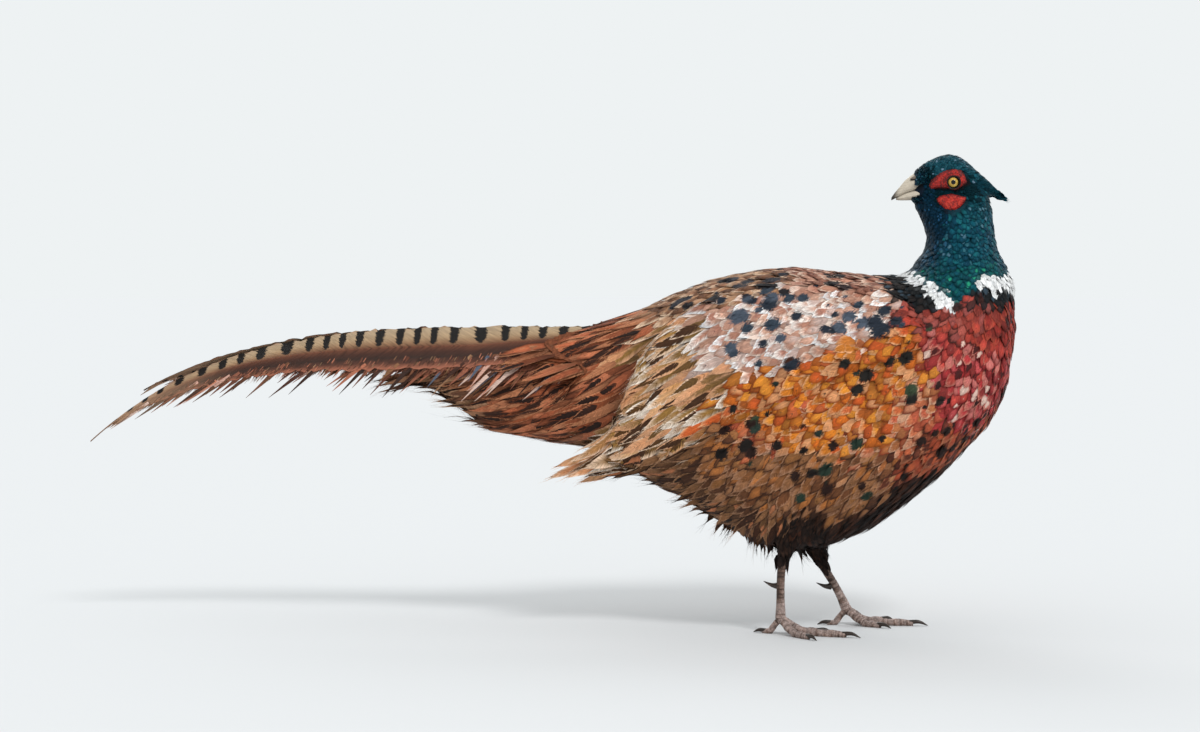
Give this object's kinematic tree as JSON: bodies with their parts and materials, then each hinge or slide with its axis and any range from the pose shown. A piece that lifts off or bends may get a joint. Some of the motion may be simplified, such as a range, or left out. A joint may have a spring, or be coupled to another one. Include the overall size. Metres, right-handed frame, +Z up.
{
  "type": "common pheasant model",
  "caption": "Life-size still model of a cock common pheasant, standing and looking back over its shoulder, with a long barred tail.",
  "frame": {"origin": "on the floor, under the middle of the bird's box", "axes": "+X from the tail to the breast, +Y to the bird's left, +Z up"},
  "size_m": [0.7555, 0.1648, 0.3879],
  "materials": {
    "body_feathers": "overlapping contour feathers, crimson and orange with dark spots and a soft sheen",
    "rump_feathers": "loose long chestnut feathers with dark streaks",
    "neck_feathers": "short scale-like teal feathers with an iridescent sheen above a white ring",
    "head_feathers": "very short dark teal feathers with an iridescent sheen",
    "wing_coverts": "salmon-pink coverts with slate-grey spots and pale edges",
    "flight_feathers": "olive-buff vanes with cream edges",
    "tail_feathers": "long buff vanes with black bars and rusty fringes",
    "thigh_feathers": "short dark brown feathers",
    "wattle": "bare red skin with fine bumps",
    "eye": "amber iris and black pupil under a clear wet cornea",
    "bill_horn": "pale horn, smooth, darker at the tip",
    "claw_horn": "dark horn, smooth and slightly glossy",
    "leg_scales": "grey-pink scaled skin with brown mottling"
  },
  "bodies": {
    "root": {"eye_left": "eye", "eye_right": "eye", "head": "head_feathers", "neck": "neck_feathers", "wattle_left": "wattle", "ear_tuft_left": "head_feathers", "wattle_right": "wattle", "ear_tuft_right": "head_feathers", "bill_upper": "bill_horn", "bill_lower": "bill_horn", "trunk": "body_feathers", "rump": "rump_feathers", "wing_left": "wing_coverts", "flight_feathers_left": "flight_feathers", "tail_centre_left": "tail_feathers", "tail_second_left": "tail_feathers", "tail_third_left": "tail_feathers", "tail_fourth_left": "tail_feathers", "tail_fifth_left": "tail_feathers", "tail_outer_left": "tail_feathers", "wing_right": "wing_coverts", "flight_feathers_right": "flight_feathers", "tail_centre_right": "tail_feathers", "tail_second_right": "tail_feathers", "tail_third_right": "tail_feathers", "tail_fourth_right": "tail_feathers", "tail_fifth_right": "tail_feathers", "tail_outer_right": "tail_feathers", "thigh_right": "thigh_feathers", "shank_right": "leg_scales", "toe_middle_right": "leg_scales", "claw_middle_right": "claw_horn", "toe_inner_right": "leg_scales", "claw_inner_right": "claw_horn", "toe_outer_right": "leg_scales", "claw_outer_right": "claw_horn", "toe_hind_right": "leg_scales", "claw_hind_right": "claw_horn", "spur_right": "claw_horn", "thigh_left": "thigh_feathers", "shank_left": "leg_scales", "toe_middle_left": "leg_scales", "claw_middle_left": "claw_horn", "toe_inner_left": "leg_scales", "claw_inner_left": "claw_horn", "toe_outer_left": "leg_scales", "claw_outer_left": "claw_horn", "toe_hind_left": "leg_scales", "claw_hind_left": "claw_horn", "spur_left": "claw_horn"}
  },
  "joints": []
}
